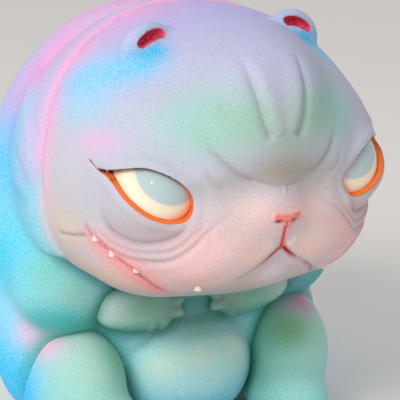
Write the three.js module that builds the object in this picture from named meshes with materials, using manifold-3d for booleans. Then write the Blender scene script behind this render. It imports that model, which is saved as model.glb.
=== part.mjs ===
// Hunched vinyl creature: a big round head that turns in a dished collar of the body,
// two plugged arms, two plugged legs, set-in eyes and fangs.
// Millimetres. +Z is up, the face looks along -Y, the creature's left is +X, the sole is z = 0.
import * as THREE from 'three';
import Module from 'manifold-3d';
import { mergeVertices } from 'three/addons/utils/BufferGeometryUtils.js';

const wasm = await Module();
wasm.setup();

// ---- driving dimensions -------------------------------------------------------------
const WALL = 2.8;              // cast vinyl wall
const GAP = 0.35;              // clearance between neighbouring pieces
const SIT_BACK = -2;           // shift of the whole figure along y

const HEAD_AT = [0, -13, 87];  // middle of the round head, on the turning axis
const HEAD_R = 50;
const HEAD_UP = 45;
const HEAD_DOWN = 36;

const BODY_AT = [0, 16, 62];   // middle of the hunched body
const BODY_R = 51;
const BODY_UP = 67;
const BODY_DOWN = 64;
const BODY_FRONT = 29;

// Front edge of the collar seen from the side, as [y, z]: a level foot behind the chin,
// then upright, then leaning back.
const COLLAR_FRONT = -18.4;
const COLLAR_FOOT = 69.5;
const LIP = [
  [-8, 57], [-8, COLLAR_FOOT], [COLLAR_FRONT, COLLAR_FOOT],
  [-18.2, 90], [-17.2, 98], [-13, 110], [1.4, 143],
];
const COLLAR_PROUD = 1.6;      // how far the collar stands off the round head
const SHOULDER_PROUD = 2.9;    // and the thicker roll behind it

const EYE_AT = [28.6, -41.6, 88.3];
const EYE_R = 12.5;
const EYE_AIM = [0.49, -0.86, 0.145];
const CUP_WALL = 1.6;

const HIP_AT = [35, -2, 20];   // the thigh is round about this side-to-side axis
const THIGH_R = 20;
const THIGH_HALF = 14.5;
const CALF_AT = [31, -14, 10];
const ARM_AT = [36.8, -3, 49];
const ARM_SIZE = [13.4, 10.5, 11];
const SHOULDER_AT = [37, 1, 45.5];
const POCKET_GAP = 2.2;        // room for the arm to rock in its pocket
const HIP_GAP = 0.6;           // room for the thigh to roll in its pocket

const STEM_R = 2.5;            // plug pegs of the arms and legs
const FLANGE_R = 4;
const NECK_STEM_R = 3.2;
const NECK_FLANGE_R = 7;
const NECK_DEPTH = 3.6;        // how far the neck plug reaches down into the body

// ---- soft fields: negative inside a shape, about a distance outside it ---------------
const blob = ({ at, size, up = size[2], front = size[1], tilt = 0, power = 2 }) => {
  const c = Math.cos(tilt * Math.PI / 180);
  const s = Math.sin(tilt * Math.PI / 180);
  return (x, y, z) => {
    const dx = x - at[0];
    const dy = y - at[1];
    const dz = z - at[2];
    const px = dx * c - dz * s;
    const pz = dx * s + dz * c;
    const ax = Math.abs(px / size[0]) ** power;
    const ay = Math.abs(dy / (dy < 0 ? front : size[1])) ** power;
    const az = Math.abs(pz / (pz > 0 ? up : size[2])) ** power;
    const k = Math.max((ax + ay + az) ** (1 / power), 1e-6);
    return (k - 1) * Math.hypot(dx, dy, dz) / k;
  };
};

const turnedBall = ({ at, radius, up, down, powers, front = radius, grow = 0 }) => (x, y, z) => {
  const dx = x - at[0];
  const dy = y - at[1];
  const dz = z - at[2];
  const across = Math.hypot(dx, dy < 0 ? dy * radius / front : dy) / (radius + grow);
  const along = Math.abs(dz) / ((dz > 0 ? up : down) + grow);
  const power = dz > 0 ? powers[0] : powers[1];
  const k = Math.max((across ** power + along ** power) ** (1 / power), 1e-6);
  return (k - 1) * Math.hypot(dx, dy, dz) / k;
};

const softMin = (a, b, soft) => {
  const h = Math.max(soft - Math.abs(a - b), 0) / soft;
  return Math.min(a, b) - h * h * h * soft / 6;
};
const join = (first, ...rest) => (x, y, z) => rest.reduce(
  (d, [soft, field]) => softMin(d, field(x, y, z), soft), first(x, y, z));
const bothSides = (field) => (x, y, z) => field(Math.abs(x), y, z);
const carve = (field, soft, hollow) => (x, y, z) =>
  -softMin(-field(x, y, z), hollow(x, y, z), soft);
const above = (field, floor) => (x, y, z) => Math.max(field(x, y, z), floor - z);
const grown = (field, by) => (x, y, z) => field(x, y, z) - by;

const headBall = (grow) => turnedBall({
  at: HEAD_AT, radius: HEAD_R, up: HEAD_UP, down: HEAD_DOWN, powers: [2, 2.5], grow,
});

const faceField = join(
  headBall(0),
  [7, blob({ at: [0, -43, 107], size: [20, 19.5, 20], power: 2.2 })],
  [8, blob({ at: [0, -34, 113], size: [24, 22, 17] })],
  [6, bothSides(blob({ at: [24, -28, 92], size: [23, 21, 20] }))],
);
const bridgeHollow = bothSides(blob({ at: [17, -66, 88], size: [13, 8.4, 7] }));
const tearHollow = bothSides(blob({ at: [24.5, -60.5, 87], size: [5, 5.5, 5.5] }));
const muzzleField = join(
  carve(faceField, 7, bridgeHollow),
  [5, bothSides(blob({ at: [12, -45, 73], size: [18, 16.5, 11.5], tilt: 12 }))],
  [8, bothSides(blob({ at: [23.5, -31, 70], size: [18, 18, 14] }))],
  [3, blob({ at: [0, -41, 66], size: [13, 18.5, 8] })],
  [5, blob({ at: [0, -52, 82], size: [9, 10.5, 8] })],
  [3, bothSides(blob({ at: EYE_AT, size: [EYE_R + 2, EYE_R + 1.5, EYE_R + 1.8] }))],
);
const headField = carve(muzzleField, 5, tearHollow);

// The collar laps the back of the round head; its lip is trimmed later.
const COLLAR_TRIM = 4;
const FOOT_TRIM = 7;
const collarBall = headBall(COLLAR_PROUD);
const collarField = (x, y, z) => Math.max(
  collarBall(x, y, z),
  COLLAR_FRONT - COLLAR_TRIM - y,
  COLLAR_FOOT - FOOT_TRIM - z,
);

// The shoulder roll starts close behind the lip and parts from it towards the top.
const shoulderBall = headBall(SHOULDER_PROUD);
const shoulderField = (x, y, z) => {
  const front = -15.2 + 0.065 * Math.max(z - 91.6, 0) ** 2;
  const behind = softMin(-shoulderBall(x, y, z), y - front, 3);
  return -softMin(behind, z - 64, 4);
};

const bodyField = above(join(
  turnedBall({
    at: BODY_AT, radius: BODY_R, up: BODY_UP, down: BODY_DOWN, powers: [2.1, 3.6],
    front: BODY_FRONT,
  }),
  [5, shoulderField],
  [1, collarField],
  [7, bothSides(blob({ at: [40, 5, 56], size: [10.5, 13, 14] }))],
  [4, blob({ at: [0, 4, 28], size: [26, 17, 25] })],
  [1, blob({ at: [0, 0, 20], size: [24, 18.5, 18.5], power: 2.2 })],
  [3, blob({ at: [0, -7, 49], size: [14, 10.5, 6] })],
), 0);

const thighField = blob({ at: HIP_AT, size: [THIGH_HALF, THIGH_R, THIGH_R] });
const legField = above(join(
  thighField,
  [1.5, blob({ at: CALF_AT, size: [11.5, 18, 11], front: 17 })],
), 0);

// The arm clears the turning head above it and the rolling thigh below it.
const armField = carve(
  carve(
    join(
      blob({ at: ARM_AT, size: ARM_SIZE }),
      [1.5, blob({ at: [19, -12, 44], size: [13.5, 4.8, 6.6], tilt: -7 })],
    ),
    0.5,
    headBall(2.2),
  ),
  0.5,
  grown(thighField, HIP_GAP),
);

// ---- geometry helpers ----------------------------------------------------------------
// How far the field's surface is from `centre` along the unit vector `d`.
function reachAlong(field, centre, d, reach = 90) {
  const at = (r) => field(centre[0] + d.x * r, centre[1] + d.y * r, centre[2] + d.z * r);
  let outside = reach;
  let inside = reach;
  while (inside > 0.5 && at(inside) > 0) {
    outside = inside;
    inside -= 1;
  }
  for (let step = 0; step < 20; step += 1) {
    const middle = (inside + outside) / 2;
    if (at(middle) > 0) outside = middle;
    else inside = middle;
  }
  return inside;
}

// A sphere whose every vertex slides along its own radius onto the field's surface.
function skin(field, centre, across, down) {
  const geometry = new THREE.SphereGeometry(1, across, down).rotateX(Math.PI / 2);
  const spots = geometry.attributes.position;
  for (let i = 0; i < spots.count; i += 1) {
    const d = new THREE.Vector3().fromBufferAttribute(spots, i).normalize();
    const r = reachAlong(field, centre, d);
    spots.setXYZ(i, centre[0] + d.x * r, centre[1] + d.y * r, centre[2] + d.z * r);
  }
  return geometry;
}

function solid(geometry) {
  const clean = geometry.clone();
  clean.deleteAttribute('normal');
  clean.deleteAttribute('uv');
  const merged = mergeVertices(clean, 1e-4);
  const mesh = new wasm.Mesh({
    numProp: 3,
    vertProperties: new Float32Array(merged.attributes.position.array),
    triVerts: new Uint32Array(merged.index.array),
  });
  return new wasm.Manifold(mesh);
}

function shape(manifold) {
  const mesh = manifold.getMesh();
  const geometry = new THREE.BufferGeometry();
  geometry.setAttribute('position', new THREE.BufferAttribute(mesh.vertProperties, 3));
  geometry.setIndex(new THREE.BufferAttribute(mesh.triVerts, 1));
  geometry.computeVertexNormals();
  return geometry;
}

// A spool turned about `axis`, its outline given as [radius, distance along the axis].
function spool(outline, at, axis, segments = 16, grow = 0) {
  const first = outline[0][1];
  const last = outline[outline.length - 1][1];
  const points = outline.map(([r, h]) => new THREE.Vector2(
    r === 0 ? 0 : r + grow,
    h + (h === first ? -grow : 0) + (h === last ? grow : 0),
  ));
  const turn = new THREE.Quaternion().setFromUnitVectors(
    new THREE.Vector3(0, 1, 0), new THREE.Vector3(...axis).normalize());
  return new THREE.LatheGeometry(points, segments)
    .applyQuaternion(turn)
    .translate(...at);
}

function ball(at, radius, across = 24, down = 16) {
  return new THREE.SphereGeometry(radius, across, down)
    .rotateX(Math.PI / 2)
    .translate(...at);
}

const side = (sign, [x, y, z]) => [x * sign, y, z];
const mirrored = (sign, manifold) => (sign > 0 ? manifold : manifold.mirror([1, 0, 0]));

// ---- eyes ----------------------------------------------------------------------------
// Lid opening in the eye's own plane: u runs outwards, v up, both from the ball's middle.
const LID = [
  [13, 6.3], [11.4, 5.8], [6.8, 6.4], [2.3, 6.8], [-1.5, 6], [-5, 4.5], [-8.3, 2.3],
  [-10.4, -0.3], [-11, -3.3], [-10.4, -6], [-8.6, -7.7], [-5.6, -8.1], [-2.6, -7.6], [1.2, -6],
  [4.6, -3.5], [7.4, -0.8], [9.8, 2.2], [11.6, 4.4],
];
const aim = new THREE.Vector3(...EYE_AIM).normalize();
const eyeU = new THREE.Vector3(0, 0, 1).cross(aim).normalize();
const eyeV = aim.clone().cross(eyeU);
const eyeFrame = new THREE.Matrix4()
  .makeBasis(eyeU, eyeV, aim)
  .setPosition(...EYE_AT);

function lidOpening() {
  const outline = new THREE.Shape(LID.map(([u, v]) => new THREE.Vector2(u, v)));
  return solid(new THREE.ExtrudeGeometry(outline, { depth: 30, bevelEnabled: false })
    .applyMatrix4(eyeFrame));
}

const CUP = [
  [10.6, -8.6], [10.6, -10.2], [7, -12.9], [2.5, -14.5], [2.5, -16.2], [7.4, -14.8],
  [11.9, -11.2], [11.9, -8.6], [10.6, -8.6],
];
const eyeCup = () => solid(new THREE.LatheGeometry(
  CUP.map(([r, h]) => new THREE.Vector2(r, h)), 16)
  .rotateX(Math.PI / 2)
  .applyMatrix4(eyeFrame));

// ---- ears ----------------------------------------------------------------------------
const EAR = { at: [22.6, -27.8, 123.2], size: [8.8, 4.4, 7.4], droop: 14 };
const EAR_BOWL = { at: [22.9, -31.4, 126.5], size: [4.7, 3.2, 1.7], droop: 22 };
const earPart = ({ at, size, droop }) => solid(new THREE.SphereGeometry(1, 12, 8)
  .scale(...size)
  .rotateY(droop * Math.PI / 180)
  .translate(...at));

// ---- fangs ---------------------------------------------------------------------------
// Each fang stands on the lower lip, at a bearing from the nose and a height.
const FANGS = [
  { bearing: 62, height: 76, tall: 2.6 },
  { bearing: 56, height: 72.4, tall: 3 },
  { bearing: 48, height: 68.6, tall: 3 },
  { bearing: 28, height: 63, tall: 2.4 },
];
const FANG_R = 1.1;
const FANG_SUNK = 1.4;

function fang({ bearing, height, tall }, sign, grow = 0) {
  const turn = bearing * Math.PI / 180;
  const out = new THREE.Vector3(Math.sin(turn), -Math.cos(turn), 0);
  const reach = reachAlong(headField, [HEAD_AT[0], HEAD_AT[1], height], out) - FANG_SUNK;
  const cone = new THREE.ConeGeometry(FANG_R + grow, tall + FANG_SUNK + 2 * grow, 6)
    .rotateX(Math.PI / 2)
    .translate(0, 0, tall / 2);
  const lean = new THREE.Vector3(out.x * 0.8, out.y * 0.8, 1).normalize();
  cone.applyQuaternion(new THREE.Quaternion().setFromUnitVectors(new THREE.Vector3(0, 0, 1), lean));
  cone.translate(out.x * reach, HEAD_AT[1] + out.y * reach, height);
  return mirrored(sign, solid(cone));
}

// ---- connectors ----------------------------------------------------------------------
const NECK_AT = [HEAD_AT[0], HEAD_AT[1], HEAD_AT[2] - HEAD_DOWN];
const NECK = [
  [0, -NECK_DEPTH], [NECK_STEM_R, -NECK_DEPTH], [NECK_STEM_R, WALL + 0.6],
  [NECK_FLANGE_R, WALL + 0.6], [NECK_FLANGE_R, WALL + 2.4], [0, WALL + 2.4],
];
const peg = (length) => [
  [0, 0], [FLANGE_R, 0], [FLANGE_R, 1.6], [STEM_R, 1.6],
  [STEM_R, length - 2], [STEM_R + 1, length - 2], [STEM_R, length], [0, length],
];
const HIP_PEG = { at: [14.4, HIP_AT[1], HIP_AT[2]], length: 15 };
const SHOULDER_PEG = { at: [17.5, SHOULDER_AT[1], SHOULDER_AT[2]], length: 16 };

const pegSolid = (p, sign, grow = 0) => mirrored(
  sign, solid(spool(peg(p.length), p.at, [1, 0, 0], 12, grow)));
const neckSolid = (grow = 0) => solid(spool(NECK, NECK_AT, [0, 0, 1], 18, grow));

// ---- shells --------------------------------------------------------------------------
function buildHead() {
  let head = solid(skin(headField, HEAD_AT, 48, 32));
  for (const sign of [-1, 1]) {
    head = head
      .add(mirrored(sign, earPart(EAR)))
      .subtract(mirrored(sign, earPart(EAR_BOWL)));
  }
  head = head.subtract(solid(skin(grown(headField, -WALL), HEAD_AT, 18, 12)));
  for (const sign of [-1, 1]) {
    head = head
      .subtract(mirrored(sign, lidOpening()))
      .subtract(solid(ball(side(sign, EYE_AT), EYE_R + GAP, 18, 12)));
    for (const f of FANGS) head = head.subtract(fang(f, sign, 0.15));
  }
  const hole = solid(spool([[0, -6], [NECK_STEM_R, -6], [NECK_STEM_R, 6], [0, 6]],
    NECK_AT, [0, 0, 1], 18, GAP));
  return head.subtract(hole);
}

// Everything in front of the collar's lip.
function lipTrim() {
  const outline = new THREE.Shape([
    ...LIP, [-100, LIP[LIP.length - 1][1]], [-100, LIP[0][1]],
  ].map(([y, z]) => new THREE.Vector2(y, z)));
  return solid(new THREE.ExtrudeGeometry(outline, { depth: 160, bevelEnabled: false })
    .translate(0, 0, -80)
    .rotateY(Math.PI / 2)
    .rotateX(Math.PI / 2));
}

function buildBody() {
  const outer = solid(skin(bodyField, [0, 14, 62], 44, 32));
  const hollow = solid(skin(above(grown(bodyField, -WALL), WALL), [0, 18, 62], 16, 12))
    .subtract(solid(skin(headBall(GAP + WALL), HEAD_AT, 16, 12)));
  let body = outer.subtract(hollow);
  for (const sign of [-1, 1]) {
    const leg = solid(skin(grown(legField, WALL + HIP_GAP), HIP_AT, 12, 8));
    const arm = solid(skin(grown(armField, WALL + POCKET_GAP), ARM_AT, 12, 8));
    body = body
      .add(outer.intersect(mirrored(sign, leg)))
      .add(outer.intersect(mirrored(sign, arm)));
  }
  body = body
    .subtract(lipTrim())
    .subtract(solid(skin(headBall(GAP), HEAD_AT, 48, 32)));
  for (const sign of [-1, 1]) {
    body = body
      .subtract(mirrored(sign, solid(skin(grown(legField, HIP_GAP), HIP_AT, 30, 20))))
      .subtract(mirrored(sign, solid(skin(grown(armField, POCKET_GAP), ARM_AT, 22, 16))))
      .subtract(pegSolid(HIP_PEG, sign, GAP))
      .subtract(pegSolid(SHOULDER_PEG, sign, GAP));
  }
  return body.subtract(neckSolid(GAP));
}

const buildLeg = (sign) => mirrored(sign, solid(skin(legField, HIP_AT, 30, 20)))
  .subtract(mirrored(sign, solid(skin(
    above(grown(legField, -WALL), WALL), [HIP_AT[0] + 1, HIP_AT[1] - 4, HIP_AT[2]], 12, 8))))
  .subtract(pegSolid(HIP_PEG, sign, GAP));
const buildArm = (sign) => mirrored(sign, solid(skin(armField, ARM_AT, 22, 16)))
  .subtract(pegSolid(SHOULDER_PEG, sign, GAP));

// ---- assembly ------------------------------------------------------------------------
const PAINT = {
  head: { color: 0xcdbfc9, roughness: 0.55, metalness: 0 },
  body: { color: 0x7fc4cf, roughness: 0.55, metalness: 0 },
  limb: { color: 0x9fd2c4, roughness: 0.55, metalness: 0 },
  eye: { color: 0xf7dfb0, roughness: 0.12, metalness: 0 },
  fang: { color: 0xfbf6ea, roughness: 0.2, metalness: 0 },
  plug: { color: 0xe8e4dc, roughness: 0.4, metalness: 0 },
};

const group = new THREE.Group();
group.name = 'vinyl_creature';

function place(name, manifold, paint) {
  const geometry = shape(manifold.translate([0, SIT_BACK, 0]));
  const mesh = new THREE.Mesh(geometry, new THREE.MeshStandardMaterial(PAINT[paint]));
  mesh.name = name;
  group.add(mesh);
}

place('body_shell', buildBody(), 'body');
place('head_shell', buildHead(), 'head');
place('neck_bobbin', neckSolid(), 'plug');
for (const [label, sign] of [['left', 1], ['right', -1]]) {
  place(`${label}_eyeball`, solid(ball(side(sign, EYE_AT), EYE_R, 18, 12)), 'eye');
  place(`${label}_eye_cup`, mirrored(sign, eyeCup()), 'plug');
  place(`${label}_arm`, buildArm(sign), 'limb');
  place(`${label}_shoulder_peg`, pegSolid(SHOULDER_PEG, sign), 'plug');
  place(`${label}_leg`, buildLeg(sign), 'limb');
  place(`${label}_hip_peg`, pegSolid(HIP_PEG, sign), 'plug');
  FANGS.forEach((f, i) => place(`${label}_fang_${i + 1}`, fang(f, sign), 'fang'));
}

export default group;
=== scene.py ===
"""Looks of the hunched vinyl creature figure: procedural sculpt, airbrushed paint, stage and camera."""

import math

import bpy
import numpy as np
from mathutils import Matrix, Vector


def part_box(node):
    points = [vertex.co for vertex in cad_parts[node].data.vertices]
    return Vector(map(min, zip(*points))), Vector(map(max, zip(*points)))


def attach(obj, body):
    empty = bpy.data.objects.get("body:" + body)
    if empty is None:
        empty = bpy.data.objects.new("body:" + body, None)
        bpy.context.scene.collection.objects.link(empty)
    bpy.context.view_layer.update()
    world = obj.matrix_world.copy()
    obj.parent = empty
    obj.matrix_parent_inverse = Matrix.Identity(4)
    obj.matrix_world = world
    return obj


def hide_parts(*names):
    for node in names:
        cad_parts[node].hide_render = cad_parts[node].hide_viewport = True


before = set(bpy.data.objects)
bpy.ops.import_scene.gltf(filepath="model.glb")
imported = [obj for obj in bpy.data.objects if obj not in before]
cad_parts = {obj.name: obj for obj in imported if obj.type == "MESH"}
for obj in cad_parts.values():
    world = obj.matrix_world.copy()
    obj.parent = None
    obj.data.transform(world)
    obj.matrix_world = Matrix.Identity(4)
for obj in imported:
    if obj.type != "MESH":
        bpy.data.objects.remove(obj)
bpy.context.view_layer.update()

MM = 0.001
SHIFT = np.array((0.0, -2.0, 0.0))  # shapes are drawn round the turning axis, then moved to the row frame

# ---------------------------------------------------------------------------------------
# Driving sizes in millimetres, the same as the CAD's
# ---------------------------------------------------------------------------------------
HEAD_AT = (0, -13, 87)
EYE_AT = (28.6, -41.6, 88.3)
EYE_R = 12.5
EYE_AIM = np.array((0.4898, -0.8597, 0.1449))
EYE_OUT = np.array((0.8689, 0.4950, 0.0))
EYE_UP = np.array((-0.0718, 0.1259, 0.9894))
LID = [
    (14.4, 6.4), (11.4, 5.8), (6.8, 6.4), (2.3, 6.8), (-1.5, 6), (-5, 4.5), (-8.3, 2.3), (-10.4, -0.3),
    (-11, -3.3), (-10.4, -6), (-8.6, -7.7), (-5.6, -8.1), (-2.6, -7.6), (1.2, -6), (4.6, -3.5), (7.4, -0.8),
    (9.8, 2.2), (11.6, 4), (14, 5.6),
]
LID_TIP = (16.2, 8.2)
NEST = 1.3  # how far the head, arms and legs reach into the pockets cut for them in the body
# the collar lip's front edge stands at y = LIP_FRONT, and leans back above z = LIP_BEND
LIP_FRONT, LIP_LEAN, LIP_BEND = -18.6, 0.44, 98


# ---------------------------------------------------------------------------------------
# Soft fields: negative inside, about a distance outside
# ---------------------------------------------------------------------------------------
def turn_about_y(degrees):
    c, s = math.cos(math.radians(degrees)), math.sin(math.radians(degrees))
    return np.array(((c, 0, s), (0, 1, 0), (-s, 0, c)))


def mirror(points):
    folded = points.copy()
    folded[:, 0] = np.abs(folded[:, 0])
    return folded


def blob(points, at, size, front=None, tilt=0.0, power=2.0):
    q = points - np.array(at)
    flat = q @ turn_about_y(tilt) if tilt else q
    depth = np.where(flat[:, 1] < 0, front or size[1], size[1])
    terms = np.abs(np.stack((flat[:, 0] / size[0], flat[:, 1] / depth, flat[:, 2] / size[2])))
    k = np.maximum((terms**power).sum(0) ** (1 / power), 1e-6)
    return (k - 1) * np.sqrt((q * q).sum(1)) / k


def turned_ball(points, at, radius, up, down, powers, front=None):
    q = points - np.array(at)
    depth = np.where(q[:, 1] < 0, q[:, 1] * radius / (front or radius), q[:, 1])
    across = np.hypot(q[:, 0], depth) / radius
    power = np.where(q[:, 2] > 0, powers[0], powers[1])
    along = np.abs(q[:, 2]) / np.where(q[:, 2] > 0, up, down)
    k = np.maximum((across**power + along**power) ** (1 / power), 1e-6)
    return (k - 1) * np.sqrt((q * q).sum(1)) / k


def join(a, b, soft):
    h = np.maximum(soft - np.abs(a - b), 0) / soft
    return np.minimum(a, b) - h * h * h * soft / 6


def carve(a, hollow, soft):
    return -join(-a, hollow, soft)


def head_ball(points, grow=0.0):
    return turned_ball(points, HEAD_AT, 50 + grow, 45 + grow, 36 + grow, (2.0, 2.5))


def head_field(points):
    q = mirror(points)
    d = head_ball(points)
    d = join(d, blob(points, (0, -43, 107), (20, 19.5, 20), power=2.2), 7)
    d = join(d, blob(points, (0, -34, 113), (24, 22, 17)), 8)
    d = join(d, blob(q, (24, -28, 92), (23, 21, 20)), 6)
    d = carve(d, blob(q, (17, -66, 88), (13, 8.4, 7)), 7)
    d = join(d, blob(q, (12, -45, 73), (18, 16.5, 11.5), tilt=12), 5)
    d = join(d, blob(q, (23.5, -31, 70), (18, 18, 14)), 8)
    d = join(d, blob(points, (0, -41, 66), (13, 18.5, 8)), 3)
    d = join(d, blob(points, (0, -52, 82), (9, 10.5, 8)), 5)
    d = join(d, blob(q, EYE_AT, (EYE_R + 2, EYE_R + 1.5, EYE_R + 1.8)), 3)
    d = carve(d, blob(q, (24.5, -60.5, 87), (5, 5.5, 5.5)), 5)
    d = join(d, blob(q, (22.6, -27.8, 123.2), (8.8, 4.4, 7.4), tilt=14, power=1.8), 3)
    return carve(d, ear_bowl(points), 0.6)


def ear_bowl(points):
    """The ear's hollow: a drop-shaped slit, its lower side cut by the cheek of the ear."""
    q = mirror(points)
    slit = blob(q, (22.9, -31.4, 126.7), (4.6, 3.4, 1.9), tilt=22)
    return carve(slit, blob(q, (22.2, -32.5, 121.4), (7.5, 9, 4.5), tilt=28), 0.4)


def lip_edge(z):
    """y of the collar lip's front edge at height z."""
    rise = 0.5 * (z - LIP_BEND + np.sqrt((z - LIP_BEND) ** 2 + 30))
    return LIP_FRONT + LIP_LEAN * rise


def collar_field(points):
    """The thin lip that laps the back of the head."""
    y, z = points[:, 1], points[:, 2]
    lip = lip_edge(z) - y
    return -join(join(-head_ball(points, 1.4), -lip, 4), z - 64, 3)


def shoulder_field(points):
    """The thicker roll behind the lip, which parts from it more and more towards the top."""
    y, z = points[:, 1], points[:, 2]
    front = -15.2 + 0.065 * np.maximum(z - 91.6, 0) ** 2 - y
    return -join(join(-head_ball(points, 2.9), -front, 3), z - 64, 4)


def thigh(q):
    return blob(q, (35, -2, 20), (14.5, 20, 20))


def leg_field(points):
    q = mirror(points)
    d = thigh(q)
    d = join(d, blob(q, (31, -14, 10), (11.5, 18, 11), front=17), 5)
    return -join(-d, points[:, 2], 1.5)


FINGERS = [
    ((6.5, -13.4, 45.6), (3.4, 2.6, 2.4), 8),
    ((7.2, -13.8, 42.0), (3.2, 2.6, 2.2), -35),
    ((11.5, -14.2, 39.8), (2.4, 2.4, 3.2), -18),
    ((15.5, -14.4, 39.6), (2.4, 2.2, 2.6), -8),
]


def forearm(q):
    return blob(q, (19, -12, 44), (13.2, 4.8, 6.6), tilt=-7, power=2.4)


def arm_field(points):
    q = mirror(points)
    d = blob(q, (36.8, -3, 49), (13.4, 10.5, 11))
    d = join(d, forearm(q), 1.5)
    for at, size, tilt in FINGERS:
        d = join(d, blob(q, at, size, tilt=tilt, power=1.6), 1)
    d = carve(d, head_ball(points, 2.2), 0.5)
    return carve(d, thigh(q) - 0.6, 0.5)


def hip_field(q):
    """The haunch, part of the body, which lies over the back of the thigh and doesn't turn with the leg."""
    return blob(q, (40.5, 9, 27), (12, 15.5, 17.5))


def sleeve_field(q):
    """The sleeve, part of the body, which covers most of the upper arm and doesn't turn with it."""
    return blob(q, (36.8, -3, 49.4), (14.4, 11.8, 12))


def body_field(points):
    d = turned_ball(points, (0, 16, 62), 51, 67, 64, (2.1, 3.6), front=29)
    q = mirror(points)
    d = join(d, shoulder_field(points), 5)
    d = join(d, collar_field(points), 1)
    d = join(d, blob(q, (40, 5, 56), (10.5, 13, 14)), 7)
    d = join(d, blob(points, (0, 4, 28), (26, 17, 25)), 4)
    d = join(d, blob(points, (0, 0, 20), (24, 18.5, 18.5), power=2.2), 1)
    d = join(d, blob(points, (0, -7, 49), (14, 10.5, 6)), 3)
    d = carve(d, leg_field(points) + NEST, 0.5)
    d = carve(d, arm_field(points) + NEST, 0.5)
    d = join(d, hip_field(q), 11)
    d = join(d, sleeve_field(q), 11)
    d = carve(d, head_ball(points, -NEST), 0.5)
    return -join(-d, points[:, 2], 2)


# ---------------------------------------------------------------------------------------
# From a field to an even quad mesh
# ---------------------------------------------------------------------------------------
def net(field, low, high, step):
    """Quad mesh of the field's zero surface: one vertex in each grid cell that the surface crosses."""
    axes = [np.arange(low[a], high[a] + step, step) for a in range(3)]
    shape = tuple(len(a) for a in axes)
    grid = np.empty(shape)
    for k, z in enumerate(axes[2]):
        x, y = np.meshgrid(axes[0], axes[1], indexing="ij")
        layer = np.stack((x.ravel(), y.ravel(), np.full(x.size, z)), 1)
        grid[:, :, k] = field(layer).reshape(x.shape)
    inside = grid < 0
    cells = tuple(n - 1 for n in shape)
    total = np.zeros(cells + (3,))
    count = np.zeros(cells)
    crossings = []
    for axis in range(3):
        a = [slice(None)] * 3
        b = [slice(None)] * 3
        a[axis], b[axis] = slice(None, -1), slice(1, None)
        cross = inside[tuple(a)] != inside[tuple(b)]
        at = np.argwhere(cross)
        f0, f1 = grid[tuple(a)][cross], grid[tuple(b)][cross]
        spot = at.astype(float)
        spot[:, axis] += f0 / (f0 - f1)
        others = [o for o in range(3) if o != axis]
        keep = np.all([(at[:, o] > 0) & (at[:, o] < shape[o] - 1) for o in others], axis=0)
        at, spot, starts_in = at[keep], spot[keep], inside[tuple(a)][cross][keep]
        ring = []
        for du, dv in ((-1, -1), (0, -1), (0, 0), (-1, 0)):
            cell = at.copy()
            cell[:, others[0]] += du
            cell[:, others[1]] += dv
            flat = np.ravel_multi_index(cell.T, cells)
            np.add.at(total.reshape(-1, 3), flat, spot)
            np.add.at(count.reshape(-1), flat, 1)
            ring.append(flat)
        quad = np.stack(ring, 1)
        flip = starts_in if axis != 1 else ~starts_in
        quad[~flip] = quad[~flip][:, ::-1]
        crossings.append(quad)
    used = np.flatnonzero(count.reshape(-1))
    number = np.full(count.size, -1)
    number[used] = np.arange(len(used))
    verts = total.reshape(-1, 3)[used] / count.reshape(-1)[used][:, None]
    verts = verts * step + np.array(low)
    return verts, number[np.concatenate(crossings)]


def slope(field, points, e=0.05):
    g = np.empty_like(points)
    for axis in range(3):
        step = np.zeros(3)
        step[axis] = e
        g[:, axis] = (field(points + step) - field(points - step)) / (2 * e)
    return g


def settle(field, points, rounds=3):
    """Slides points along the field's slope onto its surface, and gives the outward normals."""
    for _ in range(rounds):
        g = slope(field, points)
        length = np.maximum((g * g).sum(1), 0.05)
        move = -(field(points) / length)[:, None] * g
        size = np.maximum(np.linalg.norm(move, axis=1), 1e-9)
        points = points + move * np.minimum(1, 1.5 / size)[:, None]
    g = slope(field, points)
    return points, g / np.maximum(np.linalg.norm(g, axis=1), 1e-9)[:, None]


def even_out(field, verts, quads, rounds=3):
    pairs = np.concatenate([quads[:, [i, (i + 1) % 4]] for i in range(4)])
    for _ in range(rounds):
        total = np.zeros_like(verts)
        count = np.zeros(len(verts))
        for a, b in ((0, 1), (1, 0)):
            np.add.at(total, pairs[:, a], verts[pairs[:, b]])
            np.add.at(count, pairs[:, a], 1)
        verts = verts + 0.6 * (total / count[:, None] - verts)
        verts, _ = settle(field, verts, 1)
    return verts


def mesh_object(name, verts, faces, material, paint):
    """verts in millimetres round the turning axis, and a linear colour for each of them."""
    mesh = bpy.data.meshes.new(name)
    faces = faces.tolist() if isinstance(faces, np.ndarray) else faces
    mesh.from_pydata(((verts + SHIFT) * MM).tolist(), [], faces)
    mesh.polygons.foreach_set("use_smooth", [True] * len(mesh.polygons))
    rgba = np.concatenate((paint, np.ones((len(paint), 1))), 1).astype(np.float32)
    mesh.attributes.new("paint", "FLOAT_COLOR", "POINT").data.foreach_set("color", rgba.ravel())
    mesh.materials.append(material)
    mesh.update()
    obj = bpy.data.objects.new(name, mesh)
    bpy.context.collection.objects.link(obj)
    return obj


# ---------------------------------------------------------------------------------------
# Creases and folds, drawn along splines and pressed into the skin
# ---------------------------------------------------------------------------------------
def curve_point(a, b, c, d, t):
    """Catmull-Rom point between b and c."""
    bend = (2 * a - 5 * b + 4 * c - d) * t * t
    twist = (3 * b - a - 3 * c + d) * t**3
    return 0.5 * (2 * b + (c - a) * t + bend + twist)


def falloff(distance, reach):
    return np.exp(-((distance / reach) ** 2))


def spline(points, pieces=28):
    p = np.array(points, float)
    p = np.vstack((2 * p[0] - p[1], p, 2 * p[-1] - p[-2]))
    spans = len(p) - 3
    each = max(3, pieces // spans)
    out = []
    for i in range(spans):
        a, b, c, d = p[i : i + 4]
        for t in np.linspace(0, 1, each, endpoint=False):
            out.append(curve_point(a, b, c, d, t))
    out.append(p[-2])
    return np.array(out)


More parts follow.
